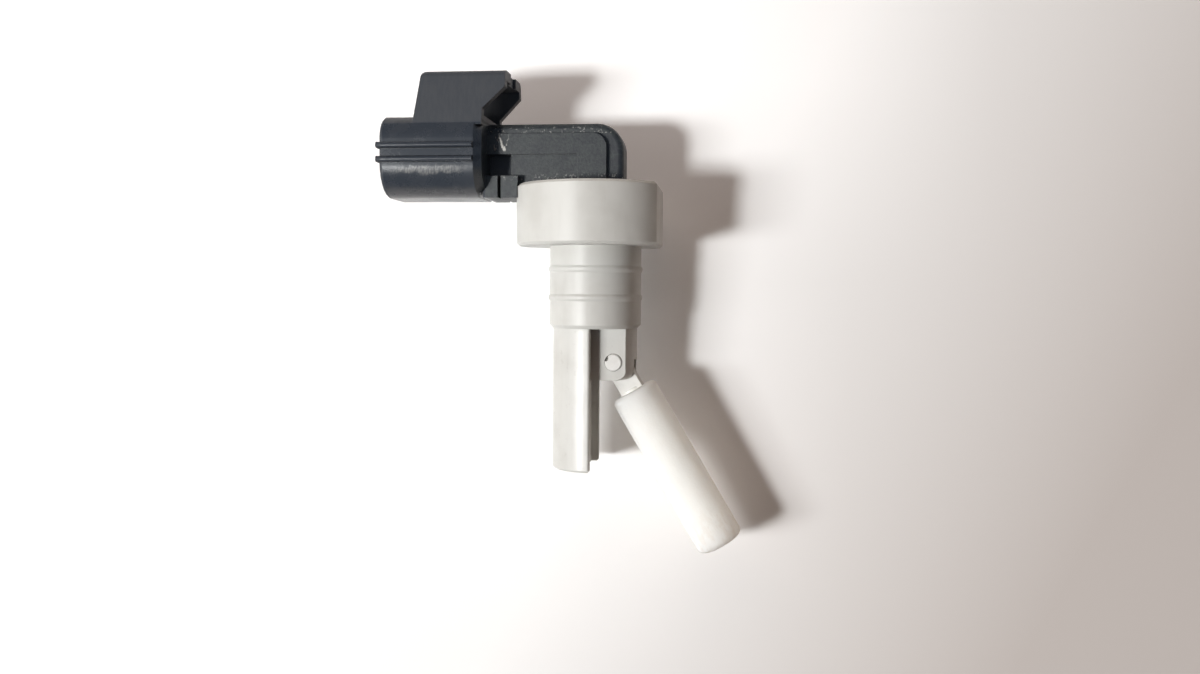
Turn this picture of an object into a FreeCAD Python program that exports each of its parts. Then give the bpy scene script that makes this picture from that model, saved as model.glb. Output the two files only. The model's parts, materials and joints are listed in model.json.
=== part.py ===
import FreeCAD, Part
import math
import os

# Level sensor for a screen-wash tank, in millimetres.
# Z runs along the stem, out of the tank. The origin is on the stem's axis, at the underside of the
# collar. The plug-in socket opens towards -X and the float swings out towards +X.

# Collar: a tapered cup with one flat side
collar_r = 13.6
collar_taper = 0.15
collar_h = 10.3
collar_flat_x = 10.95
collar_wall = 1.9
collar_corner_r = 0.8
collar_bevel = 0.45
cup_floor = 2.4

# Neck that seals in the tank's grommet
neck_d = 15.6
neck_len = 13.9
neck_bore_d = 11.4
neck_floor = 2.5
neck_chamfer = 0.6
seal_rib_first = 3.9
seal_rib_pitch = 4.8
seal_rib_w = 1.2
seal_rib_crest = 0.4
seal_rib_h = 0.22
seal_rib_count = 2

# Half-round stem that holds the reed switch
stem_r = 7.2
stem_len = 37.9
stem_flat_x = 0.0
stem_edge_r = 0.4
stem_end_bevel = 0.35
stem_groove_w = 12.2
stem_groove_depth = 1.3

# Yoke with its two ears
yoke_drop = 22.6
ear_span = 8.9
ear_corner_r = 1.6
pin_x = 3.63
pin_drop = 19.55
pin_d = 2.9
pin_gap = 0.05
pin_proud = 0.3

# Float arm and its hub
hub_w = 3.8
hub_side_gap = 0.2
hub_r = 2.6
hub_gap = 0.25
arm_w = 3.9
arm_stop_gap = 0.1
rest_angle = 30.7
open_angle = 60.0
nick_r = 0.45
nick_depth = 1.2
nick_turn = 31.0
pin_chamfer = 0.2

# Foam float on its spindle, with the magnet inside
float_d = 8.3
float_start = 5.8
float_len = 30.2
float_cone_d = 4.6
float_cone_h = 0.85
float_tip_bevel = 1.2
float_tip_mid = 0.36
spindle_d = 4.4
spindle_len = 15.0
spindle_gap = 0.05
magnet_d = 3.0
magnet_len = 10.0
magnet_gap = 0.05

# Reed switch and its leads
reed_x = -4.4
reed_d = 2.2
reed_len = 14.0
reed_top = 18.0
reed_wall = 0.35
reed_end_bevel = 0.5
reed_gap = 0.2
blade_w = 0.8
blade_t = 0.25
contact_gap = 0.2
contact_lap = 1.5
seal_len = 1.5
lead_d = 0.5
lead_gap = 0.2
lead_join = 0.03
lead_bend = 0.6
lead_return_step = 2.1
lead_tail = 2.0
channel_clear = 1.2

# Plug-in socket
mouth_x = -35.25
back_x = -18.15
back_wall = 2.0
socket_w = 18.4
socket_z = 8.0
socket_h = 13.5
socket_top_r = 4.0
socket_low_r = 5.5
socket_wall = 1.7
mouth_bevel = 0.3
back_bevel = 1.2
side_rib_h = 0.9
side_rib_w = 1.0
side_rib_r = 0.45
side_rib_z = 14.05
side_rib_pitch = 2.3
side_rib_count = 2
side_rib_proud = 0.35

# Latch bridge over the socket
bridge_top = 29.0
bridge_front = 29.9
bridge_front_lean = 1.15
bridge_rear_x = -14.45
bridge_rear_h = 2.8
bridge_base_w = 16.6
bridge_top_w = 13.1
bridge_wall = 1.7
bridge_edge_r = 1.2
bridge_notch_w = 4.0
bridge_notch_len = 0.5
latch_x = -23.0
latch_len = 3.5
latch_w = 4.0
latch_h = 1.4

# Elbow from the socket to the collar
elbow_top = 20.55
elbow_x = 5.0
elbow_corner_r = 4.6
elbow_t = 6.4
elbow_edge_r = 1.0
band_t = 8.0
band_top_inset = 1.7
band_side_inset = 2.85
band_w = 3.5
band_leg_w = 4.9
band_r = 2.4
panel_t = 7.2
pocket_web = 2.4
pocket_len = 4.1
pocket_h = 3.7
pad_len = 2.1
pad_t = 10.4
foot_len = 2.9
foot_gap = 0.55
plug_gap = 0.1
plug_recess = 1.0
spigot_len = 6.0

# Two flat terminals
terminal_pitch = 4.8
terminal_w = 2.0
terminal_t = 0.8
terminal_bend_r = 1.4
terminal_gap = 0.02
terminal_reach = 9.0
terminal_tail = 4.0
terminal_tip = 0.7

# Places that follow from the sizes above
tiny = 1e-4
lap = 0.4
beyond = 1.0
neck_r = neck_d / 2
cup_r = collar_r - collar_wall
cup_flat_x = collar_flat_x - collar_wall
bore_r = neck_bore_d / 2
bore_z = neck_floor - neck_len
ear_y = ear_span / 2
pin_z = -pin_drop
pin_r = pin_d / 2
pocket_r = hub_r + hub_gap
slot_y = hub_w / 2 + hub_side_gap
lead_r = lead_d / 2
return_x = reed_x + lead_return_step
return_r = lead_r + lead_gap
channel_r = reed_d / 2 + reed_gap
reed_low = -reed_top - reed_len
channel_z = reed_low - seal_len - lead_return_step / 2 - channel_clear
socket_y = socket_w / 2
socket_top = socket_z + socket_h
floor_x = back_x - back_wall
band_top = elbow_top - band_top_inset
band_low = band_top - band_w
band_x = elbow_x - band_side_inset
band_in_x = band_x - band_leg_w
spigot_z = cup_floor - spigot_len
plug_top = collar_h - plug_recess
terminal_z = band_top - band_w / 2
terminal_x = band_x - band_leg_w / 2
terminal_y = terminal_pitch / 2
terminal_end = spigot_z - terminal_tail
join_x = terminal_x - terminal_t / 2 - lead_r - lead_join


def vec(x, y, z):
    return FreeCAD.Vector(x, y, z)


def box(x0, x1, y0, y1, z0, z1):
    return Part.makeBox(x1 - x0, y1 - y0, z1 - z0, vec(x0, y0, z0))


def post(r, z0, z1, x=0.0, y=0.0):
    """Upright cylinder."""
    return Part.makeCylinder(r, z1 - z0, vec(x, y, z0))


def cross_rod(r, y0, y1, x, z):
    """Cylinder along Y."""
    return Part.makeCylinder(r, y1 - y0, vec(x, y0, z), vec(0, 1, 0))


def turned(a, b, c, r):
    """Start, middle and end of the arc of radius r that rounds the corner b between a and c."""
    to_a = (a - b).normalize()
    to_c = (c - b).normalize()
    half = to_a.getAngle(to_c) / 2
    aim = (to_a + to_c).normalize()
    centre = b + aim * (r / math.sin(half))
    reach = r / math.tan(half)
    return b + to_a * reach, centre - aim * r, b + to_c * reach


def outline(corners, place):
    """Closed wire through corners (u, v, r), a corner of radius 0 staying sharp."""
    spots = [place(c[0], c[1]) for c in corners]
    count = len(corners)
    turns = []
    for i in range(count):
        r = corners[i][2]
        if r > 0:
            turns.append(turned(spots[i - 1], spots[i], spots[(i + 1) % count], r))
        else:
            turns.append((spots[i],))
    edges = []
    for i in range(count):
        turn = turns[i]
        if len(turn) == 3:
            edges.append(Part.Arc(turn[0], turn[1], turn[2]).toShape())
        ahead = turns[(i + 1) % count]
        if (ahead[0] - turn[-1]).Length > tiny:
            edges.append(Part.LineSegment(turn[-1], ahead[0]).toShape())
    return Part.Wire(edges)


def side_plate(corners, y0, y1):
    """Profile in the XZ plane, thick from y0 to y1."""
    wire = outline(corners, lambda u, v: vec(u, y0, v))
    return Part.Face(wire).extrude(vec(0, y1 - y0, 0))


def cross_bar(corners, x0, x1):
    """Profile in the YZ plane, long from x0 to x1."""
    wire = outline(corners, lambda u, v: vec(x0, u, v))
    return Part.Face(wire).extrude(vec(x1 - x0, 0, 0))


def level(edge, z):
    return abs(edge.BoundBox.ZMin - z) < tiny and abs(edge.BoundBox.ZMax - z) < tiny


def facing(edge, x):
    return abs(edge.BoundBox.XMin - x) < tiny and abs(edge.BoundBox.XMax - x) < tiny


def upright(edge, x):
    flat = abs(edge.BoundBox.XMin - x) < 0.01 and abs(edge.BoundBox.XMax - x) < 0.01
    return flat and edge.BoundBox.ZLength > edge.BoundBox.YLength


def soften(shape, r, test):
    return shape.makeFillet(r, [e for e in shape.Edges if test(e)])


def bevel(shape, size, test):
    return shape.makeChamfer(size, [e for e in shape.Edges if test(e)])


def d_block(r, flat_x, z0, z1):
    """Disc with one flat side."""
    reach = r + beyond
    return post(r, z0, z1).cut(box(flat_x, flat_x + reach, -reach, reach, z0 - beyond, z1 + beyond))


def collar_solid(grow, z0, z1):
    """The collar's outer form, grown all round, between two heights."""
    slope = collar_taper / collar_h
    r0 = collar_r - collar_taper + slope * z0 + grow
    r1 = collar_r - collar_taper + slope * z1 + grow
    cone = Part.makeCone(r0, r1, z1 - z0, vec(0, 0, z0))
    reach = 2 * collar_r
    return cone.cut(box(collar_flat_x + grow, reach, -reach, reach, z0 - beyond, z1 + beyond))


def seal_rib(z):
    """Fine raised ring around the neck, sloped on both flanks."""
    foot = seal_rib_w / 2
    crest = seal_rib_crest / 2
    root = neck_r - lap
    section = outline([(root, z - foot, 0), (neck_r, z - foot, 0), (neck_r + seal_rib_h, z - crest, 0),
                       (neck_r + seal_rib_h, z + crest, 0), (neck_r, z + foot, 0), (root, z + foot, 0)],
                      lambda u, v: vec(u, 0, v))
    return Part.Face(section).revolve(vec(0, 0, 0), vec(0, 0, 1), 360)


def slot_cut():
    """Room between the ears for the hub, open downwards, with the stop face of the opened arm."""
    turn = math.radians(open_angle)
    along = vec(math.sin(turn), 0, -math.cos(turn))
    above = vec(math.cos(turn), 0, math.sin(turn))
    pin = vec(pin_x, 0, pin_z)
    stop = pin + above * (arm_w / 2 + arm_stop_gap)
    far = stop + along * (2 * stem_r)
    low = min(far.z, -yoke_drop) - beyond
    mouth = [(pin_x - pocket_r, pin_z, 0), (pin_x - pocket_r, low, 0), (far.x, low, 0),
             (far.x, far.z, 0), (stop.x, stop.z, 0)]
    room = cross_rod(pocket_r, -slot_y, slot_y, pin_x, pin_z)
    return room.fuse(side_plate(mouth, -slot_y, slot_y))


def sensor_body():
    """Collar, neck, half-round stem with a groove along its flat, and yoke, moulded in one piece."""
    collar = collar_solid(0.0, 0.0, collar_h)
    collar = soften(collar, collar_corner_r, lambda e: upright(e, collar_flat_x))
    collar = bevel(collar, collar_bevel, lambda e: level(e, 0.0) or level(e, collar_h))
    neck = post(neck_r, -neck_len, cup_floor)
    neck = bevel(neck, neck_chamfer, lambda e: level(e, -neck_len))
    rings = [seal_rib(-seal_rib_first - seal_rib_pitch * i) for i in range(seal_rib_count)]

    root = lap - neck_len
    half = box(-2 * stem_r, stem_flat_x, -2 * stem_r, 2 * stem_r, -stem_len, root)
    stem = post(stem_r, -stem_len, root).common(half)
    stem = soften(stem, stem_edge_r, lambda e: upright(e, stem_flat_x))
    stem = bevel(stem, stem_end_bevel, lambda e: level(e, -stem_len))
    groove_x = stem_flat_x - stem_groove_depth
    groove_y = stem_groove_w / 2
    stem = stem.cut(box(groove_x, stem_flat_x + beyond, -groove_y, groove_y, -stem_len - beyond, -neck_len))

    yoke = post(stem_r, -yoke_drop, root)
    yoke = soften(yoke, ear_corner_r, lambda e: level(e, -yoke_drop))
    yoke = yoke.common(box(groove_x - lap, 2 * stem_r, -ear_y, ear_y, -stem_len, root))

    body = collar.fuse([neck, stem, yoke] + rings).removeSplitter()
    cup = d_block(cup_r, cup_flat_x, cup_floor, collar_h + beyond)
    bore = post(bore_r, bore_z, cup_floor + lap)
    reed_room = post(channel_r, channel_z, bore_z + lap, reed_x)
    lead_room = post(return_r, channel_z, bore_z + lap, return_x)
    between = box(reed_x, return_x, -return_r, return_r, channel_z, bore_z + lap)
    holes = cross_rod(pin_r + pin_gap, -2 * ear_y, 2 * ear_y, pin_x, pin_z)
    inside = cup.fuse([bore, reed_room, lead_room, between])
    return body.cut([inside, slot_cut(), holes])


def socket_ring(shrink, x0, x1):
    """The socket's outer section, drawn in by one wall, between two stations."""
    y = socket_y - shrink
    low = socket_z + shrink
    top = socket_top - shrink
    low_r = socket_low_r - shrink
    top_r = socket_top_r - shrink
    return cross_bar([(-y, low, low_r), (y, low, low_r), (y, top, top_r), (-y, top, top_r)], x0, x1)


def latch_bridge():
    """Tapered bridge over the socket, open at both ends, cut back below at the rear."""
    base = socket_top - socket_wall
    lean = (bridge_base_w - bridge_top_w) / 2 / (bridge_top - base)
    low_y = bridge_base_w / 2
    top_y = bridge_top_w / 2
    front = -bridge_front
    shell = cross_bar([(-low_y, base, 0), (low_y, base, 0), (top_y, bridge_top, bridge_edge_r),
                       (-top_y, bridge_top, bridge_edge_r)], front, bridge_rear_x)
    slant = bridge_top - bridge_rear_h - (bridge_rear_x - back_x)
    side = side_plate([(front, base, 0), (back_x, base, 0), (back_x, slant, 0),
                       (bridge_rear_x, bridge_top - bridge_rear_h, 0), (bridge_rear_x, bridge_top, 0),
                       (front + bridge_front_lean, bridge_top, bridge_edge_r)], -socket_w, socket_w)
    in_low = low_y - lean * (socket_top - base) - bridge_wall
    roof = bridge_top - bridge_wall
    in_top = low_y - lean * (roof - base) - bridge_wall
    tunnel = cross_bar([(-in_low, socket_top, 0), (in_low, socket_top, 0), (in_top, roof, 0),
                        (-in_top, roof, 0)], front - beyond, bridge_rear_x + beyond)
    notch = box(bridge_rear_x - bridge_notch_len, bridge_rear_x + beyond,
                -bridge_notch_w / 2, bridge_notch_w / 2, roof - lap, bridge_top + beyond)
    nose = side_plate([(latch_x - latch_len, socket_top, 0), (latch_x - latch_len, socket_top - lap, 0),
                       (latch_x, socket_top - lap, 0), (latch_x, socket_top + latch_h, 0)],
                      -latch_w / 2, latch_w / 2)
    return shell.common(side).cut([tunnel, notch]).fuse(nose)


def elbow():
    """Flat elbow with a raised band over the terminals, a panel, a pocket, a pad and a foot on each face."""
    start = back_x - lap
    web_y = elbow_t / 2
    web = side_plate([(start, socket_z, 0), (elbow_x, socket_z, 0), (elbow_x, elbow_top, elbow_corner_r),
                      (start, elbow_top, 0)], -web_y, web_y)

    def outer(e):
        flat = e.BoundBox.YLength < tiny
        high = e.BoundBox.ZMin > elbow_top - elbow_corner_r - tiny
        right = e.BoundBox.XMin > elbow_x - elbow_corner_r - tiny
        return flat and (high or right)

    web = soften(web, elbow_edge_r, outer)
    band_y = band_t / 2
    band = side_plate([(start, band_low, 0), (band_in_x, band_low, 0), (band_in_x, socket_z, 0),
                       (band_x, socket_z, 0), (band_x, band_top, band_r), (start, band_top, 0)],
                      -band_y, band_y)
    panel_x = back_x + pocket_len
    panel = box(panel_x, band_in_x + lap, -panel_t / 2, panel_t / 2, socket_z + lap, band_low + lap)
    low = band_low - pocket_h
    near = box(back_x, panel_x, -band_t, -pocket_web / 2, low, band_low)
    far = box(back_x, panel_x, pocket_web / 2, band_t, low, band_low)
    pad_end = back_x + pad_len
    foot_x = pad_end + foot_gap
    pad = box(start, pad_end, -pad_t / 2, pad_t / 2, socket_z, low)
    foot = box(foot_x, foot_x + foot_len, -pad_t / 2, pad_t / 2, socket_z, low)
    return web.fuse([band, panel]).cut([near, far]).fuse([pad, foot])


def terminal(y, grow, tip):
    """Flat strip, straight through the socket and bent down into the neck."""
    t = terminal_t / 2 + grow
    nose = floor_x - terminal_reach
    out_r = terminal_bend_r + t
    in_r = terminal_bend_r - t
    corners = [(nose, terminal_z - t + tip / 2, 0), (nose + 2 * tip, terminal_z - t, 0),
               (terminal_x - t, terminal_z - t, in_r), (terminal_x - t, terminal_end, 0),
               (terminal_x + t, terminal_end, 0), (terminal_x + t, terminal_z + t, out_r),
               (nose + 2 * tip, terminal_z + t, 0), (nose, terminal_z + t - tip / 2, 0)]
    half = terminal_w / 2 + grow
    return side_plate(corners, y - half, y + half)


def connector_housing():
    """Socket, latch bridge, elbow and the plug that fills the collar, moulded in one piece."""
    ribs = []
    for i in range(side_rib_count):
        z = side_rib_z + side_rib_pitch * i
        out = socket_y + side_rib_h
        low = z - side_rib_w / 2
        high = z + side_rib_w / 2
        ribs.append(cross_bar([(-out, low, side_rib_r), (out, low, side_rib_r), (out, high, side_rib_r),
                               (-out, high, side_rib_r)], mouth_x - side_rib_proud, back_x - back_bevel))
    plug = d_block(cup_r - plug_gap, cup_flat_x - plug_gap, cup_floor, plug_top)
    spigot = post(bore_r - plug_gap, spigot_z, cup_floor + lap)
    rim = collar_solid(plug_gap, -beyond, collar_h + plug_gap)
    rim = rim.cut(d_block(cup_r - plug_gap, cup_flat_x - plug_gap, -2 * beyond, collar_h + beyond))
    arm = elbow().cut(rim)
    below = box(-cup_r, collar_flat_x, -band_t, band_t, -beyond, cup_floor)
    arm = arm.cut(below)
    shell = bevel(socket_ring(0.0, mouth_x, back_x), mouth_bevel, lambda e: facing(e, mouth_x))
    shell = bevel(shell, back_bevel, lambda e: facing(e, back_x))
    body = shell.fuse(ribs + [latch_bridge(), arm, plug, spigot]).removeSplitter()
    cavity = socket_ring(socket_wall, mouth_x - beyond, floor_x)
    paths = [terminal(s * terminal_y, terminal_gap, 0.0) for s in (-1, 1)]
    return body.cut([cavity] + paths)


def lead(points):
    """Round wire through the points."""
    path = Part.makePolygon(points)
    start = (points[1] - points[0]).normalize()
    ring = Part.Wire([Part.makeCircle(lead_r, points[0], start)])
    return path.makePipeShell([ring], True, False, 1)


def reed_glass():
    """Sealed glass tube, hollow, closed round a lead at each end."""
    r = reed_d / 2
    top = -reed_top
    outer = post(r, reed_low, top, reed_x)
    outer = bevel(outer, reed_end_bevel, lambda e: level(e, top) or level(e, reed_low))
    hollow = post(r - reed_wall, reed_low + seal_len, top - seal_len, reed_x)
    way = post(lead_r + lead_join, reed_low - beyond, top + beyond, reed_x)
    return outer.cut([hollow, way])


def reed_blade(side, z0, z1):
    """Flattened inner end of a lead."""
    x = reed_x + side * (contact_gap + blade_t) / 2
    return box(x - blade_t / 2, x + blade_t / 2, -blade_w / 2, blade_w / 2, z0, z1)


def reed_lead_upper():
    mid = -reed_top - reed_len / 2
    shoulder = terminal_end - lead_tail
    foot = -reed_top - seal_len - lap
    points = [vec(reed_x, 0, foot), vec(reed_x, 0, shoulder),
              vec(join_x, terminal_y, terminal_end + lap), vec(join_x, terminal_y, spigot_z - lap)]
    wire = lead(points)
    return wire.fuse(reed_blade(1, mid - contact_lap / 2, foot + lap))


def reed_lead_lower():
    mid = -reed_top - reed_len / 2
    shoulder = terminal_end - lead_tail
    foot = reed_low + seal_len + lap
    low = reed_low - seal_len - lead_return_step / 2
    points = [vec(reed_x, 0, foot), vec(reed_x, 0, low + lead_bend), vec(reed_x + lead_bend, 0, low),
              vec(return_x - lead_bend, 0, low), vec(return_x, 0, low + lead_bend),
              vec(return_x, 0, shoulder), vec(join_x, -terminal_y, terminal_end + lap),
              vec(join_x, -terminal_y, spigot_z - lap)]
    wire = lead(points)
    return wire.fuse(reed_blade(-1, foot - lap, mid + contact_lap / 2))


def hung(shape):
    """Turn a piece drawn hanging straight down from the pin into its place at rest."""
    shape.rotate(vec(0, 0, 0), vec(0, 1, 0), -rest_angle)
    shape.translate(vec(pin_x, 0, pin_z))
    return shape


def float_arm():
    """Hub with its two trunnions, arm and spindle, moulded in one piece."""
    reach = ear_y + pin_proud
    hub = cross_rod(hub_r, -hub_w / 2, hub_w / 2, 0, 0)
    pins = cross_rod(pin_r, -reach, reach, 0, 0)
    pins = bevel(pins, pin_chamfer, lambda e: e.BoundBox.YLength < tiny)
    bar = box(-arm_w / 2, arm_w / 2, -hub_w / 2, hub_w / 2, -float_start, 0)
    tip = -float_start - spindle_len
    spindle = post(spindle_d / 2, tip, -float_start + lap)
    turn = math.radians(nick_turn)
    nick = cross_rod(nick_r, -reach - beyond, nick_depth - reach, -pin_r * math.sin(turn), pin_r * math.cos(turn))
    pocket = post(magnet_d / 2 + magnet_gap, tip - beyond, tip + magnet_len)
    arm = hub.fuse([pins, bar, spindle]).removeSplitter()
    return hung(arm.cut([nick, pocket]))


def magnet():
    tip = -float_start - spindle_len
    return hung(post(magnet_d / 2, tip, tip + magnet_len))


def foam_float():
    """Foam cylinder with a shallow cone on top and a blind hole for the spindle."""
    top = -float_start
    end = top - float_len
    r = float_d / 2
    half = outline([(0, end, 0), (r - float_tip_bevel, end, 0), (r - float_tip_mid, end + float_tip_mid, 0),
                    (r, end + float_tip_bevel, 0), (r, top - float_cone_h, 0),
                    (float_cone_d / 2, top, 0), (0, top, 0)], lambda u, v: vec(u, 0, v))
    foam = Part.Face(half).revolve(vec(0, 0, 0), vec(0, 0, 1), 360)
    hole = post(spindle_d / 2 + spindle_gap, top - spindle_len, top + beyond)
    return hung(foam.cut(hole))


def main():
    os.makedirs("parts", exist_ok=True)
    pieces = {
        "sensor_body": sensor_body(),
        "connector_housing": connector_housing(),
        "terminal_near": terminal(-terminal_y, 0.0, terminal_tip),
        "terminal_far": terminal(terminal_y, 0.0, terminal_tip),
        "reed_glass": reed_glass(),
        "reed_lead_upper": reed_lead_upper(),
        "reed_lead_lower": reed_lead_lower(),
        "float_arm": float_arm(),
        "float": foam_float(),
        "magnet": magnet(),
    }
    for name, shape in pieces.items():
        shape.exportStep("parts/" + name + ".step")
        print(name, len(shape.Solids), shape.isValid(), round(shape.Volume, 2))


main()
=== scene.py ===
import json
import math

import bpy
from bpy.props import FloatProperty, FloatVectorProperty, IntProperty, PointerProperty
from mathutils import Matrix, Vector


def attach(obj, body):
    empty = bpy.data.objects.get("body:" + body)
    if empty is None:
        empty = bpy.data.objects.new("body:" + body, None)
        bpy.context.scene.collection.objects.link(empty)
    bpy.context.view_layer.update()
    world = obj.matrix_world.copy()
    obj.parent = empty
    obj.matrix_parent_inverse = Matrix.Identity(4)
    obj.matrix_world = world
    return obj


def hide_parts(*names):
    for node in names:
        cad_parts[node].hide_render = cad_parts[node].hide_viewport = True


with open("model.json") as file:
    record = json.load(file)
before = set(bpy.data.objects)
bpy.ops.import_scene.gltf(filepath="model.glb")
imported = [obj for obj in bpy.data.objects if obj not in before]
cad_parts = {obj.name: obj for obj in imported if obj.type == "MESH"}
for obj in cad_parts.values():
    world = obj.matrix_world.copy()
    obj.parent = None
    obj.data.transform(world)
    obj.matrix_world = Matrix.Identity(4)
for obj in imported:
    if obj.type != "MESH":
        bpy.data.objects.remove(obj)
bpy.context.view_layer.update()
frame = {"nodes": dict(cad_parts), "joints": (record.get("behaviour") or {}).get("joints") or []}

bl_info = {
    "name": "Washer fluid level sensor",
    "version": (1, 0, 0),
    "blender": (4, 5, 0),
    "location": "3D View > Sidebar > Level sensor",
    "description": "Finishes and lights a tank level sensor with a swinging float",
    "category": "Object",
}

MM = 0.001
PIN = Vector(frame["joints"][0]["pos_m"])

# Stations of the black moulding that its finish follows, in millimetres
MOUTH_X = -35.25
BACK_X = -18.15
BAND_X = 2.15
BAND_Y = 4.0
BAND_LOW = 15.35
BAND_TOP = 18.85
PANEL_Y = 3.6
POCKET_LONG = 4.1
POCKET_HIGH = 3.7
SOCKET_TOP = 21.5
BRIDGE_Z = 20.0
LOW_RIB_Z = 13.4
FLANK_Y = 8.4
# Ends of the strip below the lower rib that takes scuffs and a painted highlight
SCUFF_LIT_START = (-34.5, -31.0)
SCUFF_LIT_END = (-24.0, -19.5)
SEAT_Z = 10.4
SEAT_HIGH = 2.0

# Stations of the grey moulding: the underside of its collar and the painted shade on the neck
# below it, and the neck's lower end
COLLAR_LOW = 0.0
COLLAR_SHADE_Z = (-3.4, -0.4)
NECK_END = -13.9

# Distances from the float's tip between which its skin turns torn, in millimetres
TORN_FROM = 9.0
TORN_TO = 1.5

# Turn of an eased edge at which edge rubbing and a painted edge highlight start and are full, as
# one less the cosine
EDGE_RUBBING_AND_SHEEN = (0.02, 0.25)

# Steps of the float's mesh: round it, along it and across its ends
ROUND_STEPS = 96
LONG_STEPS = 150
END_STEPS = 14

# Lumps of the float's skin in one cell's width, and the noise value that stays where it is
LUMPS = 0.35
LUMP_LEVEL = 0.75

# Lens and film width of the camera, and the point it looks at, in millimetres
LENS = 31.8
FILM = 36.0
TARGET = (0.82, 0.0, -15.48)

# Half the board's width in metres, and the places between which its tone, glow and bounce change,
# in millimetres; the tone falls to the right as a painted fall-off of light
BOARD_HALF = 0.6
FALL_SLANT = 0.55
FALL = (20.0, 115.0)
UPPER_RISE = (-5.0, 32.0)
UPPER_END = (15.0, 70.0)
LOWER_RISE = (-75.0, -50.0)
LOWER_FALL = (-10.0, 10.0)
LOWER_END = (10.0, 45.0)
BOUNCE_RISE = (8.0, 40.0)

# Lamps: name, width and height in metres, direction from the object, tint
LAMP_REACH = 0.9
LAMPS = (
    ("key", 0.10, 0.10, (-0.465, -0.82, -0.13), (0.99, 1.0, 1.0)),
    ("halo", 0.30, 0.12, (-0.60, -0.79, -0.13), (0.99, 1.0, 1.0)),
    ("side", 0.8, 0.8, (-0.83, -0.56, -0.12), (1.0, 0.99, 0.975)),
    ("sheen", 0.36, 0.36, (-0.84, -0.54, -0.1), (1.0, 1.0, 1.0)),
    ("top", 0.8, 0.8, (-0.15, -0.45, 0.75), (1.0, 0.81, 0.68)),
    ("rear", 0.8, 0.8, (-0.1, 0.93, 0.3), (1.0, 0.99, 0.98)),
)

# A texture that isn't stretched, and a surface that doesn't glow
EVEN = (1.0, 1.0, 1.0)
NO_LIGHT = (0.0, 0.0, 0.0)


def colour(name, description, default):
    return FloatVectorProperty(
        name=name,
        description=description,
        default=default,
        subtype="COLOR",
        size=3,
        min=0.0,
        max=1.0,
    )


def length(name, description, default):
    return FloatProperty(
        name=name, description=description, default=default, unit="LENGTH", min=0.0
    )


def share(name, description, default):
    return FloatProperty(
        name=name, description=description, default=default, subtype="FACTOR", min=0.0, max=1.0
    )


def turn(name, description, default):
    return FloatProperty(
        name=name, description=description, default=math.radians(default), subtype="ANGLE"
    )


class HousingLook(bpy.types.PropertyGroup):
    """Black moulding of the connector housing."""

    black: colour("Black", "Colour of the moulding", (0.027, 0.0305, 0.037))
    dusty: colour("Dusty black", "Colour where the surface is dull", (0.050, 0.051, 0.054))
    # Darker black for random mottles on the elbow and for painted shade on its right border
    mottle_and_shade_black: colour("Deep black", "Colour of the mottles on the elbow", (0.016, 0.0165, 0.018))
    web: colour("Web black", "Colour of the elbow", (0.037, 0.041, 0.036))
    # Painted fill light: a paler colour inside the elbow's pocket stands in for light that does
    # not reach into it
    pocket_fill_light: colour("Pocket fill light", "Colour inside the elbow's pockets", (0.12, 0.126, 0.138))
    # Paler colour for rubbing and a painted highlight on edges, and for the scuffs and painted
    # highlight below the lower rib
    rubbed_and_sheen: colour("Rubbed and sheen black", "Colour of edges and scuffed places", (0.16, 0.16, 0.155))
    # Painted glints: bright flecks painted into the colour as highlights
    glint: colour("Glint", "Colour of the bright flecks", (0.60, 0.595, 0.56))
    roughness: share("Roughness", "Dullness of the smooth faces", 0.21)
    grain: length("Grain", "Width of one grain of the mould's finish", 0.16 * MM)
    relief: length("Relief", "Height of the grain", 0.012 * MM)


class BodyLook(bpy.types.PropertyGroup):
    """Grey moulding of the collar, neck, stem and yoke."""

    grey: colour("Grey", "Colour of the moulding", (0.597, 0.592, 0.562))
    # Darker grey for random stains and for the painted shade on the neck under the collar
    stain_and_shade: colour("Stain and shade grey", "Colour of stained places", (0.51, 0.50, 0.468))
    # Paler colour for rubbing and a painted highlight on edges
    rubbed_and_sheen: colour("Rubbed and sheen grey", "Colour of the edges", (0.66, 0.652, 0.625))
    roughness: share("Roughness", "Dullness of the moulding", 0.27)
    grain: length("Grain", "Width of one grain of the mould's finish", 0.26 * MM)
    relief: length("Relief", "Height of the grain", 0.011 * MM)


class LeverLook(bpy.types.PropertyGroup):
    """White lever arm and its magnet."""

    white: colour("White", "Colour of the lever arm", (0.74, 0.73, 0.70))
    shade: colour("Shade", "Colour of its duller places", (0.66, 0.645, 0.61))
    roughness: share("Roughness", "Dullness of the lever arm", 0.34)
    ferrite: colour("Ferrite", "Colour of the magnet", (0.05, 0.048, 0.047))


class FloatLook(bpy.types.PropertyGroup):
    """Foam float and its shape."""

    foam: colour("Foam", "Colour of the foam skin", (0.96, 0.905, 0.82))
    pore: colour("Pore", "Colour inside the open cells", (0.89, 0.81, 0.71))
    radius: length("Radius", "Radius of the float", 4.13 * MM)
    start: length("Start", "Distance of its upper end from the pin", 5.82 * MM)
    span: length("Span", "Length of the float", 30.16 * MM)
    tip_round: length("Tip rounding", "Radius of the edge at the tip", 1.1 * MM)
    top_round: length("Top rounding", "Radius of the edge at the upper end", 0.9 * MM)
    cell: length("Cell", "Width of a foam cell", 0.5 * MM)
    dent: length("Dent", "Depth of the unevenness of the skin", 0.05 * MM)
    rest_turn: turn("Rest angle", "Angle of the float from hanging straight down", 30.7)
    seed: IntProperty(name="Seed", description="Seed of the foam's unevenness", default=4, min=0)


class MetalLook(bpy.types.PropertyGroup):
    """Terminals and the sealed switch."""

    tin: colour("Tin", "Colour of the plated terminals", (0.72, 0.705, 0.67))
    lead: colour("Lead", "Colour of the switch leads", (0.56, 0.54, 0.50))
    glass: colour("Glass", "Colour of the switch tube", (0.62, 0.72, 0.64))
    roughness: share("Roughness", "Dullness of the plating", 0.3)


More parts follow.
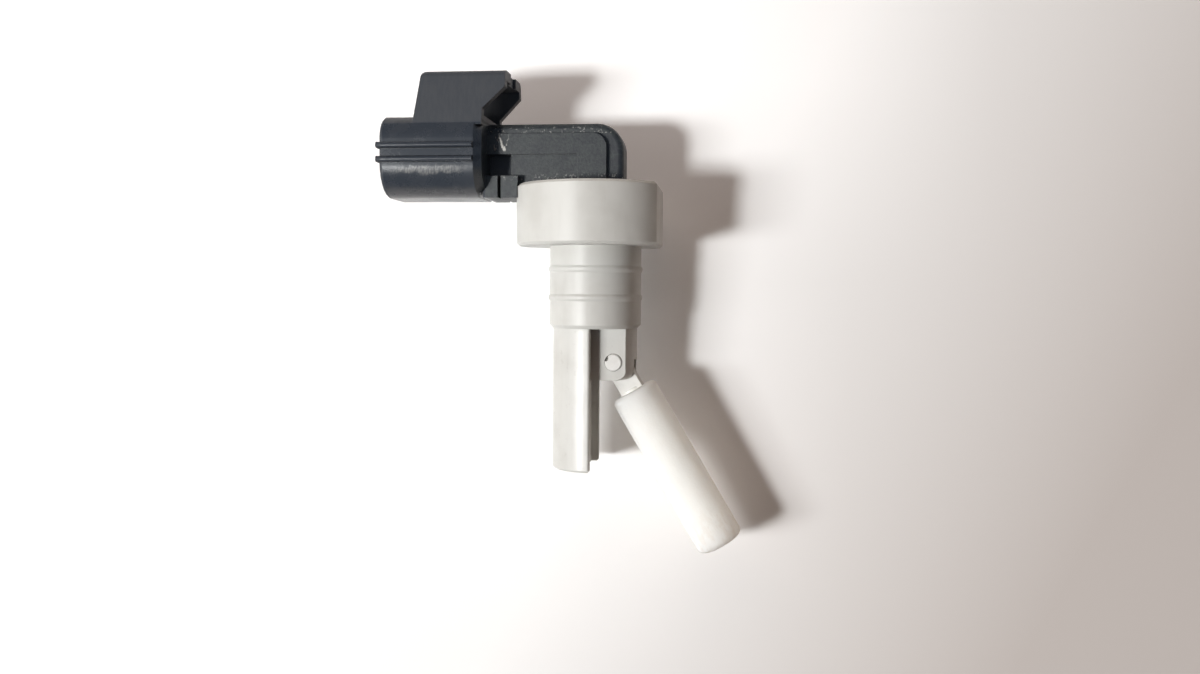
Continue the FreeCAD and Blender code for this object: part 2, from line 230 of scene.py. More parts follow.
class StageLook(bpy.types.PropertyGroup):
    """Board, lamps and camera."""

    board: colour("Board", "Colour of the board", (0.92, 0.918, 0.914))
    # Painted fall-off of light: the board darkens to the right towards this colour
    shade: colour("Shade", "Colour of the board far to the right", (0.5612, 0.51867, 0.49356))
    warm: colour("Warm", "Tint of the board's glow", (0.92, 0.87, 0.855))
    # Painted bounce light: what the board throws back on its right side is warmer than it shows
    bounce: colour("Bounce", "Colour that the right side throws back", (0.68, 0.59, 0.51))
    glow: share("Glow", "Board's own glow", 0.05)
    # Painted light: glow added at the upper and lower left lightens the board's shadow there
    upper_glow: share("Upper glow", "Glow added at the upper left", 0.20)
    lower_glow: share("Lower glow", "Glow added at the lower left", 0.06)
    ambient: colour("Ambient", "Light from all round", (0.038, 0.016, 0.006))
    room: colour("Room", "What glossy faces reflect", (0.26, 0.35, 0.48))
    backdrop: colour("Backdrop", "Background behind the board", (0.93, 0.93, 0.925))
    key: share("Key", "Level of the main lamp", 0.52)
    halo: share("Halo", "Level of the long lamp beside the main one", 0.57)
    side: share("Side", "Level of the wide lamp at the side", 0.10)
    sheen: share("Sheen", "Level of the lamp that only glossy faces see", 0.12)
    top: share("Top", "Level of the wide lamp above", 0.21)
    rear: share("Rear", "Level of the lamp behind the board", 0.36)
    board_gap: length("Board gap", "Distance of the board behind the sensor's axis", 13.75 * MM)
    board_turn: turn("Board turn", "Board's turn about the object", 2.0)
    board_lean: turn("Board lean", "Board's lean", 3.5)
    azimuth: turn("Azimuth", "Camera's turn about the object", 6.82)
    elevation: turn("Elevation", "Camera's height angle", 2.65)
    roll: turn("Roll", "Camera's roll", 0.385)
    distance: length("Distance", "Camera's distance", 182.2 * MM)


class SensorLook(bpy.types.PropertyGroup):
    """Everything that can be changed on the sensor and its stage."""

    housing: PointerProperty(type=HousingLook)
    body: PointerProperty(type=BodyLook)
    lever: PointerProperty(type=LeverLook)
    buoy: PointerProperty(type=FloatLook)
    metal: PointerProperty(type=MetalLook)
    stage: PointerProperty(type=StageLook)


class Wire:
    """A socket of a node tree, on which plain arithmetic adds Math nodes."""

    def __init__(self, nodes, socket):
        self.nodes = nodes
        self.socket = socket

    def __add__(self, other):
        return self.nodes.maths("ADD", self, other)

    def __sub__(self, other):
        return self.nodes.maths("SUBTRACT", self, other)

    def __rsub__(self, other):
        return self.nodes.maths("SUBTRACT", other, self)

    def __mul__(self, other):
        return self.nodes.maths("MULTIPLY", self, other)

    def __truediv__(self, other):
        return self.nodes.maths("DIVIDE", self, other)

    def __rtruediv__(self, other):
        return self.nodes.maths("DIVIDE", other, self)

    def __abs__(self):
        return self.nodes.maths("ABSOLUTE", self)

    __radd__ = __add__
    __rmul__ = __mul__


class Nodes:
    """A node tree in the making."""

    def __init__(self, tree):
        self.tree = tree
        tree.nodes.clear()

    def node(self, kind, settings=None, sockets=None, out=0):
        made = self.tree.nodes.new(kind)
        for key, value in (settings or {}).items():
            setattr(made, key, value)
        for key, value in (sockets or {}).items():
            if isinstance(value, Wire):
                self.tree.links.new(value.socket, made.inputs[key])
            else:
                made.inputs[key].default_value = value
        return Wire(self, made.outputs[out]) if made.outputs else None

    def maths(self, operation, *values):
        return self.node("ShaderNodeMath", {"operation": operation}, dict(enumerate(values)))


class Paint(Nodes):
    """A procedural material in the making, measured in millimetres on the object."""

    def __init__(self, name):
        self.material = bpy.data.materials.new(name)
        self.material.use_nodes = True
        super().__init__(self.material.node_tree)

    def place(self, stretch=EVEN, turned=0.0):
        """Place on the object, turned about the y axis before it is stretched."""
        at = self.node("ShaderNodeTexCoord", out="Object")
        scale = tuple(MM / each for each in stretch)
        sockets = {"Vector": at, "Rotation": (0.0, turned, 0.0), "Scale": scale}
        return self.node("ShaderNodeMapping", {"vector_type": "TEXTURE"}, sockets)

    def axes(self, names="XYZ"):
        at = self.place()
        return [self.node("ShaderNodeSeparateXYZ", None, {"Vector": at}, axis) for axis in names]

    def noise(self, width, detail=2.0, stretch=EVEN, turned=0.0):
        at = self.place(stretch, turned)
        sockets = {"Vector": at, "Scale": 1.0 / width, "Detail": detail}
        return self.node("ShaderNodeTexNoise", None, sockets, "Fac")

    def marks(self, width, levels, detail=2.0, stretch=EVEN, turned=0.0):
        """Marks that start at the first level of the noise and are full at the second."""
        return self.step(self.noise(width, detail, stretch, turned), *levels)

    def cells(self, width):
        sockets = {"Vector": self.place(), "Scale": 1.0 / width}
        return self.node("ShaderNodeTexVoronoi", None, sockets, "Distance")

    def step(self, value, low, high):
        """Soft rise from 0 at the low value to 1 at the high one."""
        settings = {"interpolation_type": "SMOOTHSTEP"}
        sockets = {"Value": value, "From Min": low, "From Max": high}
        return self.node("ShaderNodeMapRange", settings, sockets)

    def ramp(self, value, low, high):
        """Straight rise from 0 at the low value to 1 at the high one."""
        sockets = {"Value": value, "From Min": low, "From Max": high}
        return self.node("ShaderNodeMapRange", None, sockets)

    def band(self, value, low, high, soft):
        """1 between two values, with soft edges inside them."""
        return self.step(value, low, low + soft) * (1.0 - self.step(value, high - soft, high))

    def dot(self, first, second):
        settings = {"operation": "DOT_PRODUCT"}
        return self.node("ShaderNodeVectorMath", settings, {0: first, 1: second}, "Value")

    def eased(self, radius):
        """Surface direction with its edges rounded."""
        return self.node("ShaderNodeBevel", {"samples": 3}, {"Radius": radius})

    def edge_rubbing_and_sheen(self, eased):
        """Share of edge rubbing and painted edge highlight, which follows the edges."""
        plain = self.node("ShaderNodeNewGeometry", None, None, "Normal")
        return self.step(1.0 - self.dot(eased, plain), *EDGE_RUBBING_AND_SHEEN)

    def mix(self, factor, first, second):
        settings = {"data_type": "RGBA"}
        ends = [each if isinstance(each, Wire) else (*each, 1.0) for each in (first, second)]
        return self.node("ShaderNodeMix", settings, {0: factor, 6: ends[0], 7: ends[1]}, 2)

    def bump(self, height, relief, strength=1.0, eased=None):
        sockets = {"Height": height, "Distance": relief, "Strength": strength}
        if eased:
            sockets["Normal"] = eased
        return self.node("ShaderNodeBump", None, sockets)

    def shader(self, **sockets):
        named = {key.replace("_", " "): value for key, value in sockets.items()}
        return self.node("ShaderNodeBsdfPrincipled", None, named)

    def finish(self, surface):
        self.node("ShaderNodeOutputMaterial", None, {"Surface": surface})
        return self.material


def dress(names, material):
    """Gives CAD nodes a material."""
    for name in names:
        mesh = frame["nodes"][name].data
        mesh.materials.clear()
        mesh.materials.append(material)


class HousingZones:
    """Where the housing's finishes, painted highlights, painted shade and painted fill light lie:
    each zone is 1 inside and fades to 0 at its edge.
    """

    def __init__(self, paint):
        x, y, z = paint.axes()
        side = abs(y)
        behind = paint.step(x, BACK_X - 0.2, BACK_X + 0.2)
        above = paint.step(z, BAND_TOP - 0.05, BAND_TOP + 0.1)
        self.elbow = behind * (1.0 - paint.step(z, SOCKET_TOP - 0.9, SOCKET_TOP - 0.7))
        self.web = self.elbow * (1.0 - paint.step(side, PANEL_Y + 0.1, PANEL_Y + 0.3))
        # Right border of the elbow, where painted shade goes
        self.border = self.web * paint.step(x, BAND_X - 0.1, BAND_X + 0.1) * (1.0 - above)
        self.strip = self.web * above * paint.step(side, PANEL_Y - 0.7, PANEL_Y - 0.25)
        self.seat = self.elbow * paint.band(z, SEAT_Z, SEAT_Z + SEAT_HIGH, 0.8)
        self.bridge = paint.step(z, BRIDGE_Z, BRIDGE_Z + 0.4)
        self.rim = 1.0 - paint.step(x, MOUTH_X + 0.35, MOUTH_X + 0.6)
        low = 1.0 - paint.step(z, LOW_RIB_Z - 0.6, LOW_RIB_Z + 0.2)
        self.flank = (1.0 - behind) * low
        self.band_end = self.band_end_zone(paint, x, side, z)
        self.pocket = self.pocket_zone(paint, x, side, z)
        self.scuffed_and_lit = self.scuffed_and_lit_zone(paint, x, side, z)

    def band_end_zone(self, paint, x, side, z):
        """Face of the raised band near the socket."""
        along = paint.band(x, BACK_X + 1.0, BACK_X + 4.0, 0.8)
        face = paint.step(side, BAND_Y - 0.15, BAND_Y - 0.05)
        return self.elbow * along * face * paint.band(z, BAND_LOW + 0.3, BAND_TOP, 0.5)

    def pocket_zone(self, paint, x, side, z):
        """Inside of the pocket under the raised band, where painted fill light goes."""
        end = BACK_X + POCKET_LONG
        along = 1.0 - paint.step(x, end - 0.1, end + 0.1)
        inside = 1.0 - paint.step(side, PANEL_Y - 0.6, PANEL_Y - 0.4)
        tall = paint.band(z, BAND_LOW - POCKET_HIGH - 0.1, BAND_LOW + 0.05, 0.1)
        return self.elbow * along * inside * tall

    def scuffed_and_lit_zone(self, paint, x, side, z):
        """Ragged strip below the socket's lower rib, on its outer face, which takes scuffs and a
        painted highlight.
        """
        along = (1.0 - paint.step(x, *SCUFF_LIT_END)) * paint.step(x, *SCUFF_LIT_START)
        ragged = z + 1.6 * paint.noise(1.1, 3.0)
        tall = paint.band(ragged, LOW_RIB_Z - 1.1, LOW_RIB_Z + 0.6, 0.6)
        return along * tall * paint.step(side, FLANK_Y - 0.2, FLANK_Y)


def black_moulding(look):
    """Satin black nylon: glossy socket with scuffs and a painted highlight, brushed bridge, rough
    elbow with painted glints, painted shade and painted fill light.
    """
    paint = Paint("black_moulding")
    zone = HousingZones(paint)
    elbow, bridge = zone.elbow, zone.bridge

    fine = paint.noise(look.grain / MM)
    cloud = paint.noise(4.5, 3.0)
    coarse = paint.cells(0.42)
    grit = paint.noise(0.24, 4.0)
    scuff_and_shade_noise = paint.noise(0.55, 4.0, (0.5, 1.0, 1.0))
    brushed = paint.marks(0.5, (0.36, 0.64), 3.0, (1.0, 1.0, 0.14))
    stroke = paint.marks(0.24, (0.34, 0.7), 2.0, (1.0, 1.0, 0.2), 0.25)
    patch = paint.marks(2.2, (0.40, 0.52))
    spark = paint.marks(0.34, (0.58, 0.66), 3.0)
    fleck = paint.marks(0.8, (0.52, 0.6), 3.0, (1.4, 1.0, 0.6))
    mottle = 0.6 * paint.marks(0.5, (0.42, 0.58), 3.0) + 0.35 * paint.marks(1.6, (0.4, 0.6), 3.0)
    dull = paint.step(cloud, 0.38, 0.68) * (1.0 - bridge * 0.7)
    eased = paint.eased(0.15 * MM)
    sparks = spark * patch
    # Painted glints on the elbow's upper strip, on the band's end and just above the collar
    glint = 0.65 * zone.strip * sparks + zone.band_end * fleck + 0.35 * zone.seat * sparks

    tone = paint.mix(0.25 * dull + bridge * (0.48 + 0.24 * brushed), look.black, look.dusty)
    tone = paint.mix(elbow * 0.8, tone, look.web)
    tone = paint.mix(elbow * mottle, tone, look.mottle_and_shade_black)
    # Painted shade on the elbow's right border, broken into mottles
    tone = paint.mix(0.85 * zone.border * paint.step(scuff_and_shade_noise, 0.36, 0.56), tone, look.mottle_and_shade_black)
    # Painted fill light inside the pocket, mottled by grit
    tone = paint.mix(zone.pocket * (0.4 + 0.6 * grit), tone, look.pocket_fill_light)
    # Paler edges from rubbing and a painted edge highlight
    tone = paint.mix(paint.edge_rubbing_and_sheen(eased) * 0.25, tone, look.rubbed_and_sheen)
    # Scuffs and a painted highlight below the lower rib, in short vertical strokes
    tone = paint.mix(zone.scuffed_and_lit * (0.3 + stroke), tone, look.rubbed_and_sheen)
    tone = paint.mix(glint, tone, look.glint)

    height = fine + 1.2 * zone.web * coarse + 3.0 * elbow * grit
    height = height + 0.6 * bridge * brushed + 2.4 * zone.flank * scuff_and_shade_noise + 2.0 * glint
    matt = 0.26 * bridge + 0.22 * elbow + 0.42 * zone.rim
    surface = paint.shader(
        Base_Color=tone,
        Roughness=look.roughness + 0.05 * dull + 0.08 * fine + matt,
        Normal=paint.bump(height, look.relief, 0.8, eased),
        Specular_IOR_Level=0.5,
    )
    return paint.finish(surface)


def grey_moulding(look):
    """Pale grey polymer with flow marks, grain, scratches, an uneven stem and painted shade on the
    neck under the collar.
    """
    paint = Paint("grey_moulding")
    (z,) = paint.axes("Z")
    stem = 1.0 - paint.step(z, NECK_END - 0.4, NECK_END)
    # Painted shade on the top of the neck, under the collar
    collar_shade = paint.step(z, *COLLAR_SHADE_Z) * (1.0 - paint.step(z, COLLAR_LOW - 0.1, COLLAR_LOW))

    fine = paint.noise(look.grain / MM)
    cloud = paint.noise(6.0, 3.0)
    uneven = paint.noise(1.3, 3.0, (1.0, 1.0, 0.7))
    flow = paint.noise(1.4, 3.0, (1.0, 1.0, 0.16))
    scratch = paint.marks(0.5, (0.66, 0.72), 2.0, (1.0, 1.0, 0.08))
    spot = paint.marks(0.9, (0.62, 0.7), 4.0) * stem
    stain = 0.6 * paint.step(cloud, 0.42, 0.75) + 0.25 * paint.step(flow, 0.5, 0.8) + 0.4 * spot
    eased = paint.eased(0.08 * MM)

    tone = paint.mix(stain, look.grey, look.stain_and_shade)
    # Painted shade under the collar
    tone = paint.mix(collar_shade * 0.7, tone, look.stain_and_shade)
    # Paler edges from rubbing and a painted edge highlight
    tone = paint.mix(paint.edge_rubbing_and_sheen(eased) * 0.4, tone, look.rubbed_and_sheen)
    height = fine + 1.3 * flow + 0.8 * scratch + 2.6 * stem * uneven
    surface = paint.shader(
        Base_Color=tone,
        Roughness=look.roughness + 0.12 * cloud + 0.08 * fine - 0.06 * stem + 0.1 * spot,
        Normal=paint.bump(height, look.relief, 0.7, eased),
        Specular_IOR_Level=0.3,
    )
    return paint.finish(surface)


def white_moulding(look):
    """White lever polymer with a soft sheen."""
    paint = Paint("white_moulding")
    fine = paint.noise(0.2, 2.0)
    cloud = paint.noise(2.2, 3.0)
    tone = paint.mix(paint.step(cloud, 0.4, 0.75), look.white, look.shade)
    surface = paint.shader(
        Base_Color=tone,
        Roughness=look.roughness + 0.12 * cloud,
        Normal=paint.bump(fine + 2.0 * cloud, 0.006 * MM, 0.6, paint.eased(0.1 * MM)),
        Specular_IOR_Level=0.5,
    )
    return paint.finish(surface)


def foam_skin(look):
    """Closed foam skin with shallow cells, more open towards the tip."""
    paint = Paint("foam_skin")
    along = (math.sin(look.rest_turn), 0.0, -math.cos(look.rest_turn))
    reach = paint.dot(paint.place(), along)
    tip_at = PIN.dot(Vector(along)) / MM + (look.start + look.span) / MM
    tip = paint.step(reach, tip_at - TORN_FROM, tip_at - TORN_TO)
    cell = paint.cells(look.cell / MM)
    fine = paint.noise(0.18, 2.0)
    cloud = paint.noise(1.6, 3.0)
    torn = paint.noise(0.8, 4.0, (1.0, 1.0, 0.4), -look.rest_turn)
    pores = (1.0 - paint.step(cell, 0.1, 0.4)) * paint.step(cloud, 0.45, 0.7)
    streaks = paint.step(torn, 0.46, 0.62) * (tip * 0.8 + 0.1)
    tone = paint.mix(pores * 0.2 + streaks, look.foam, look.pore)
    height = cell + fine * 0.6 + cloud * 1.5 + tip * torn * 6.0
    surface = paint.shader(
        Base_Color=tone,
        Roughness=0.72 + 0.2 * cloud,
        Normal=paint.bump(height, 0.022 * MM, 0.7),
        Specular_IOR_Level=0.3,
        Subsurface_Weight=1.0,
        Subsurface_Radius=(1.0, 0.96, 0.92),
        Subsurface_Scale=16.0 * MM,
    )
    return paint.finish(surface)


def plated_metal(name, tint, dullness, stretch):
    """Plated metal with drawing marks along one direction."""
    paint = Paint(name)
    drawn = paint.noise(0.12, 3.0, stretch)
    cloud = paint.noise(1.5, 3.0)
    dark = tuple(each * 0.72 for each in tint)
    surface = paint.shader(
        Base_Color=paint.mix(paint.step(cloud, 0.35, 0.75), tint, dark),
        Metallic=1.0,
        Roughness=dullness + 0.18 * drawn,
        Normal=paint.bump(drawn, 0.004 * MM, 0.6),
    )
    return paint.finish(surface)


def switch_glass(look):
    """Pale green glass of the sealed switch tube."""
    paint = Paint("switch_glass")
    cloud = paint.noise(0.8, 2.0)
    clear = tuple(min(1.0, each * 1.15) for each in look.glass)
    surface = paint.shader(
        Base_Color=paint.mix(cloud, look.glass, clear),
        Roughness=0.03 + 0.06 * cloud,
        Transmission_Weight=0.9,
        IOR=1.5,
    )
    return paint.finish(surface)


def ferrite(look):
    """Dull sintered ferrite."""
    paint = Paint("ferrite")
    grit = paint.noise(0.15, 3.0)
    lighter = tuple(each * 1.6 for each in look.ferrite)
    surface = paint.shader(
        Base_Color=paint.mix(grit, look.ferrite, lighter),
        Roughness=0.5 + 0.3 * grit,
        Normal=paint.bump(grit, 0.02 * MM, 0.6),
    )
    return paint.finish(surface)


class FloatTree(Nodes):
    """Node tree of the foam float: a closed round bar with rounded ends and an uneven skin."""

    sizes = (
        "Radius",
        "Span",
        "Start",
        "Tip rounding",
        "Top rounding",
        "Cell",
        "Dent",
        "Rest angle",
    )

    def __init__(self):
        super().__init__(bpy.data.node_groups.new("foam_float", "GeometryNodeTree"))
        face = self.tree.interface
        for name in self.sizes:
            face.new_socket(name, in_out="INPUT", socket_type="NodeSocketFloat")
        face.new_socket("Seed", in_out="INPUT", socket_type="NodeSocketInt")
        face.new_socket("Skin", in_out="INPUT", socket_type="NodeSocketMaterial")
        face.new_socket("Pivot", in_out="INPUT", socket_type="NodeSocketVector")
        face.new_socket("Geometry", in_out="OUTPUT", socket_type="NodeSocketGeometry")

    def given(self, name):
        return self.node("NodeGroupInput", out=name)

    def rounded(self, gap, edge):
        """Shift along the axis and radius lost, for a point a given gap from a rounded end."""
        angle = self.node("ShaderNodeClamp", None, {"Value": gap / edge}) * (math.pi / 2)
        inset = edge * (1.0 - self.maths("COSINE", angle))
        lost = edge * (1.0 - self.maths("SINE", angle))
        moved = self.maths("LESS_THAN", gap, edge) * (inset - gap)
        return moved, lost

    def build(self):
        radius, span = self.given("Radius"), self.given("Span")
        sockets = {
            "Vertices": ROUND_STEPS,
            "Side Segments": LONG_STEPS,
            "Fill Segments": END_STEPS,
            "Radius": radius,
            "Depth": span,
        }
        bar = self.node("GeometryNodeMeshCylinder", {"fill_type": "TRIANGLE_FAN"}, sockets, "Mesh")
        place = self.node("GeometryNodeInputPosition")
        x, y, z = [self.node("ShaderNodeSeparateXYZ", None, {0: place}, axis) for axis in "XYZ"]
        half = span * 0.5
        tip_moved, tip_lost = self.rounded(half + z, self.given("Tip rounding"))
        top_moved, top_lost = self.rounded(half - z, self.given("Top rounding"))
        slim = 1.0 - (tip_lost + top_lost) / radius
        along = z - half - self.given("Start") + tip_moved - top_moved
        shaped = self.node("ShaderNodeCombineXYZ", None, {0: x * slim, 1: y * slim, 2: along})
        bar = self.node("GeometryNodeSetPosition", None, {"Geometry": bar, "Position": shaped})
        bar = self.uneven(bar)
        turned = self.node("ShaderNodeCombineXYZ", None, {1: self.given("Rest angle") * -1.0})
        sockets = {"Geometry": bar, "Translation": self.given("Pivot"), "Rotation": turned}
        bar = self.node("GeometryNodeTransform", None, sockets)
        bar = self.node("GeometryNodeSetShadeSmooth", None, {0: bar})
        bar = self.node("GeometryNodeRealizeInstances", None, {0: bar})
        bar = self.node("GeometryNodeSetMaterial", None, {0: bar, "Material": self.given("Skin")})
        self.node("NodeGroupOutput", None, {0: bar})
        return self.tree

    def uneven(self, bar):
        """Pushes the skin in by an uneven amount."""
        scale = 1.0 / self.given("Cell") * LUMPS
        sockets = {"W": self.given("Seed"), "Scale": scale, "Detail": 3.0}
        lump = self.node("ShaderNodeTexNoise", {"noise_dimensions": "4D"}, sockets, "Fac")
        push = (lump - LUMP_LEVEL) * self.given("Dent")
        normal = self.node("GeometryNodeInputNormal")
        sockets = {0: normal, "Scale": push}
        offset = self.node("ShaderNodeVectorMath", {"operation": "SCALE"}, sockets)
        return self.node("GeometryNodeSetPosition", None, {"Geometry": bar, "Offset": offset})


def grown_mesh(name, tree, values):
    """Runs a geometry tree once and keeps its result as a plain mesh object."""
    seed_mesh = bpy.data.meshes.new(name)
    piece = bpy.data.objects.new(name, seed_mesh)
    bpy.context.scene.collection.objects.link(piece)
    grower = piece.modifiers.new("grower", "NODES")
    grower.node_group = tree
    for socket in tree.interface.items_tree:
        if socket.in_out == "INPUT":
            grower[socket.identifier] = values[socket.name]
    graph = bpy.context.evaluated_depsgraph_get()
    grown = bpy.data.meshes.new_from_object(piece.evaluated_get(graph), depsgraph=graph)
    piece.modifiers.remove(grower)
    piece.data = grown
    bpy.data.meshes.remove(seed_mesh)
    if not grown.polygons:
        raise RuntimeError(name + " came out empty")
    return piece


class SENSOR_OT_housing(bpy.types.Operator):
    """Finish the black connector housing"""

    bl_idname = "sensor.housing"
    bl_label = "Connector housing"

    def execute(self, context):
        dress(["connector_housing"], black_moulding(context.scene.level_sensor.housing))
        return {"FINISHED"}


class SENSOR_OT_body(bpy.types.Operator):
    """Finish the grey collar, neck, stem and yoke"""

    bl_idname = "sensor.body"
    bl_label = "Sensor body"

    def execute(self, context):
        dress(["sensor_body"], grey_moulding(context.scene.level_sensor.body))
        return {"FINISHED"}


class SENSOR_OT_terminals(bpy.types.Operator):
    """Finish the two terminals and the sealed switch"""

    bl_idname = "sensor.terminals"
    bl_label = "Terminals and switch"

    def execute(self, context):
        look = context.scene.level_sensor.metal
        tin = plated_metal("tinned_brass", tuple(look.tin), look.roughness, (0.1, 1.0, 1.0))
        lead = plated_metal("drawn_wire", tuple(look.lead), look.roughness + 0.08, (1.0, 1.0, 0.1))
        dress(["terminal_near", "terminal_far"], tin)
        dress(["reed_lead_upper", "reed_lead_lower"], lead)
        dress(["reed_glass"], switch_glass(look))
        return {"FINISHED"}


class SENSOR_OT_lever(bpy.types.Operator):
    """Finish the lever arm and its magnet"""

    bl_idname = "sensor.lever"
    bl_label = "Lever arm and magnet"

    def execute(self, context):
        look = context.scene.level_sensor.lever
        dress(["float_arm"], white_moulding(look))
        dress(["magnet"], ferrite(look))
        return {"FINISHED"}


class SENSOR_OT_float(bpy.types.Operator):
    """Make the foam float on its lever"""

    bl_idname = "sensor.float"
    bl_label = "Foam float"

    def execute(self, context):
        look = context.scene.level_sensor.buoy
        values = {
            "Radius": look.radius,
            "Span": look.span,
            "Start": look.start,
            "Tip rounding": look.tip_round,
            "Top rounding": look.top_round,
            "Cell": look.cell,
            "Dent": look.dent,
            "Rest angle": look.rest_turn,
            "Seed": look.seed,
            "Skin": foam_skin(look),
            "Pivot": PIN,
        }
        piece = grown_mesh("foam_float", FloatTree().build(), values)
        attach(piece, "float_lever")
        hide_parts("float")
        return {"FINISHED"}


def lamp(name, power, wide, high, place, tint):
    """A soft flat lamp aimed at the middle of the sensor."""
    light = bpy.data.lights.new(name, "AREA")
    light.shape = "RECTANGLE"
    light.energy = power
    light.size = wide
    light.size_y = high
    light.color = tint
    holder = bpy.data.objects.new(name, light)
    bpy.context.scene.collection.objects.link(holder)
    holder.location = place
    holder.rotation_euler = (-Vector(place)).to_track_quat("-Z", "Y").to_euler()
    holder.visible_camera = False
    return holder


def facing(azimuth, elevation):
    """Unit vector from the object towards a viewer."""
    return Vector(
        (
            math.sin(azimuth) * math.cos(elevation),
            -math.cos(azimuth) * math.cos(elevation),
            math.sin(elevation),
        )
    )


def board_surface(look):
    """Pale board, paler to the left by a painted fall-off of light, with a painted glow at its
    upper and lower left and a warmer painted bounce to the right, that keeps the shadow and is
    clear when seen from behind.
    """
    paint = Paint("pale_board")
    x, y = paint.axes("XY")
    # Painted fall-off of light to the right
    away = paint.ramp(x - FALL_SLANT * y, *FALL)
    tone = paint.mix(away, look.board, look.shade)
    warm = paint.mix(away, look.warm, look.shade)
    # Painted bounce light: a warmer colour for rays other than those that see the board
    thrown = paint.mix(paint.ramp(x, *BOUNCE_RISE), look.board, look.bounce)
    # Painted light: the board glows more at the upper and lower left, which lightens its shadow
    # there
    upper = paint.ramp(y, *UPPER_RISE) * (1.0 - paint.ramp(x, *UPPER_END))
    lower = paint.ramp(y, *LOWER_RISE) * (1.0 - paint.ramp(y, *LOWER_FALL))
    lower = lower * (1.0 - paint.ramp(x, *LOWER_END))
    level = look.glow + look.upper_glow * upper + look.lower_glow * lower
    glow = paint.mix(level, NO_LIGHT, warm)
    seen, mirrored, through = [
        paint.node("ShaderNodeLightPath", out=ray)
        for ray in ("Is Camera Ray", "Is Glossy Ray", "Is Transmission Ray")
    ]
    shown = paint.maths("MAXIMUM", seen, paint.maths("MAXIMUM", mirrored, through))
    surface = paint.shader(
        Base_Color=paint.mix(shown, thrown, tone),
        Roughness=0.9,
        Specular_IOR_Level=0.1,
        Emission_Color=paint.mix(shown, NO_LIGHT, glow),
        Emission_Strength=1.0,
    )
    behind = paint.node("ShaderNodeNewGeometry", out="Backfacing")
    clear = paint.node("ShaderNodeBsdfTransparent")
    sockets = {0: behind * seen, 1: surface, 2: clear}
    return paint.finish(paint.node("ShaderNodeMixShader", None, sockets))


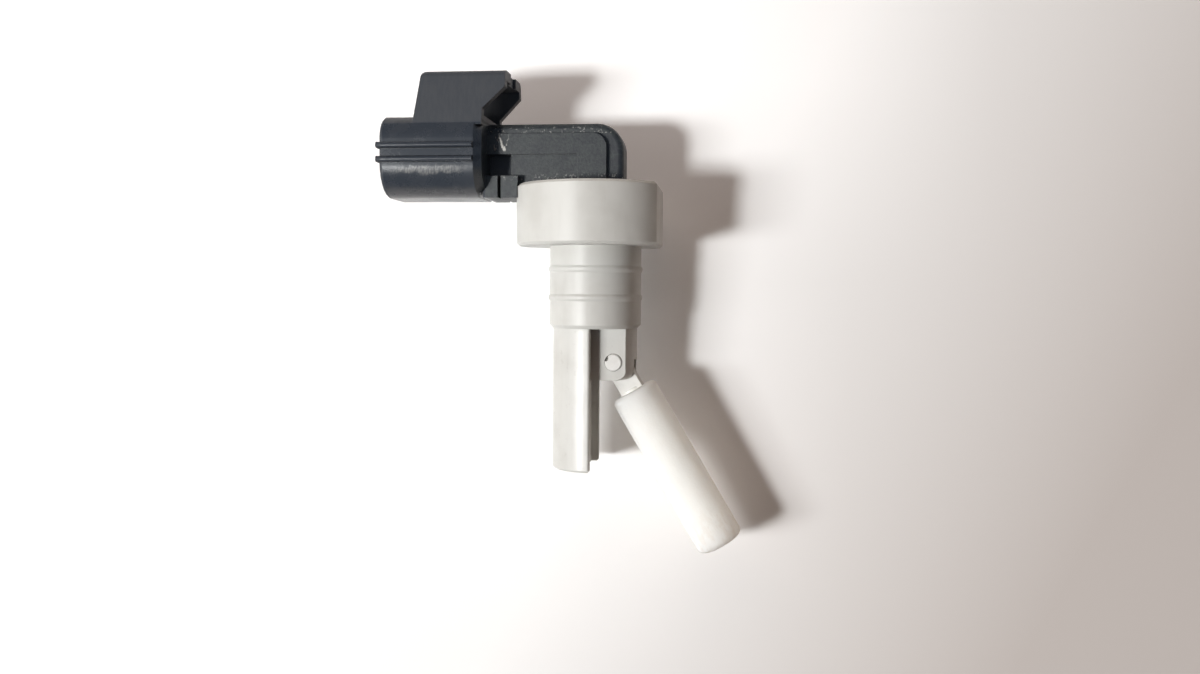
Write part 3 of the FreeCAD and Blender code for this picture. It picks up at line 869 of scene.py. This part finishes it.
class SENSOR_OT_stage(bpy.types.Operator):
    """Lay the sensor on a pale board under soft light, with the camera over it"""

    bl_idname = "sensor.stage"
    bl_label = "Stage"

    def execute(self, context):
        look = context.scene.level_sensor.stage
        self.lay_board(look)
        self.hang_lamps(look)
        self.set_world(context.scene, look)
        self.set_camera(context.scene, look)
        return {"FINISHED"}

    def lay_board(self, look):
        normal = facing(look.board_turn, look.board_lean)
        across = Vector((-normal.y, normal.x, 0.0)).normalized()
        turned = Matrix((across, normal.cross(across), normal)).transposed().to_4x4()
        middle = normal * -look.board_gap
        signs = ((-1, -1), (1, -1), (1, 1), (-1, 1))
        corners = [(BOARD_HALF * right, BOARD_HALF * up, 0.0) for right, up in signs]
        mesh = bpy.data.meshes.new("board")
        mesh.from_pydata(corners, [], [(0, 1, 2, 3)])
        mesh.materials.append(board_surface(look))
        board = bpy.data.objects.new("board", mesh)
        bpy.context.scene.collection.objects.link(board)
        board.matrix_world = Matrix.Translation(middle) @ turned
        board.visible_shadow = False

    def hang_lamps(self, look):
        unit = (math.pi * LAMP_REACH) ** 2
        for name, wide, high, towards, tint in LAMPS:
            place = Vector(towards).normalized() * LAMP_REACH
            holder = lamp(name, getattr(look, name) * unit, wide, high, place, tint)
            holder.visible_diffuse = name != "sheen"
            holder.visible_glossy = name != "top"

    def set_world(self, scene, look):
        world = bpy.data.worlds.new("studio")
        world.use_nodes = True
        scene.world = world
        sky = Nodes(world.node_tree)
        glow = sky.node("ShaderNodeBackground", None, {"Color": (*look.ambient, 1.0)})
        for ray, tint in (
            ("Is Glossy Ray", look.room),
            ("Is Transmission Ray", look.backdrop),
            ("Is Camera Ray", look.backdrop),
        ):
            share_of_ray = sky.node("ShaderNodeLightPath", out=ray)
            other = sky.node("ShaderNodeBackground", None, {"Color": (*tint, 1.0)})
            glow = sky.node("ShaderNodeMixShader", None, {0: share_of_ray, 1: glow, 2: other})
        sky.node("ShaderNodeOutputWorld", None, {"Surface": glow})

    def set_camera(self, scene, look):
        lens = bpy.data.cameras.new("camera")
        lens.lens = LENS
        lens.sensor_width = FILM
        lens.sensor_fit = "HORIZONTAL"
        lens.clip_start = 0.01
        back = facing(look.azimuth, look.elevation)
        right = Vector((math.cos(look.azimuth), math.sin(look.azimuth), 0.0))
        up = back.cross(right)
        tilted = right * math.cos(look.roll) + up * math.sin(look.roll)
        upright = up * math.cos(look.roll) - right * math.sin(look.roll)
        turned = Matrix((tilted, upright, back)).transposed().to_4x4()
        target = Vector(TARGET) * MM
        camera = bpy.data.objects.new("camera", lens)
        scene.collection.objects.link(camera)
        camera.matrix_world = Matrix.Translation(target + back * look.distance) @ turned
        scene.camera = camera
        scene.view_settings.view_transform = "Standard"


class SENSOR_PT_panel(bpy.types.Panel):
    """Sidebar panel that makes each part of the sensor"""

    bl_label = "Level sensor"
    bl_space_type = "VIEW_3D"
    bl_region_type = "UI"
    bl_category = "Level sensor"

    def draw(self, context):
        look = context.scene.level_sensor
        for operator, group in STEPS:
            box = self.layout.box()
            box.operator(operator.bl_idname)
            for name in getattr(look, group).bl_rna.properties.keys():
                if name not in ("rna_type", "name"):
                    box.prop(getattr(look, group), name)


STEPS = (
    (SENSOR_OT_body, "body"),
    (SENSOR_OT_housing, "housing"),
    (SENSOR_OT_terminals, "metal"),
    (SENSOR_OT_lever, "lever"),
    (SENSOR_OT_float, "buoy"),
    (SENSOR_OT_stage, "stage"),
)

CLASSES = (
    HousingLook,
    BodyLook,
    LeverLook,
    FloatLook,
    MetalLook,
    StageLook,
    SensorLook,
    SENSOR_OT_body,
    SENSOR_OT_housing,
    SENSOR_OT_terminals,
    SENSOR_OT_lever,
    SENSOR_OT_float,
    SENSOR_OT_stage,
    SENSOR_PT_panel,
)


def register():
    for each in CLASSES:
        bpy.utils.register_class(each)
    bpy.types.Scene.level_sensor = PointerProperty(type=SensorLook)


def unregister():
    del bpy.types.Scene.level_sensor
    for each in reversed(CLASSES):
        bpy.utils.unregister_class(each)


def main():
    register()
    bpy.ops.sensor.body()
    bpy.ops.sensor.housing()
    bpy.ops.sensor.terminals()
    bpy.ops.sensor.lever()
    bpy.ops.sensor.float()
    bpy.ops.sensor.stage()


if __name__ == "__main__":
    main()
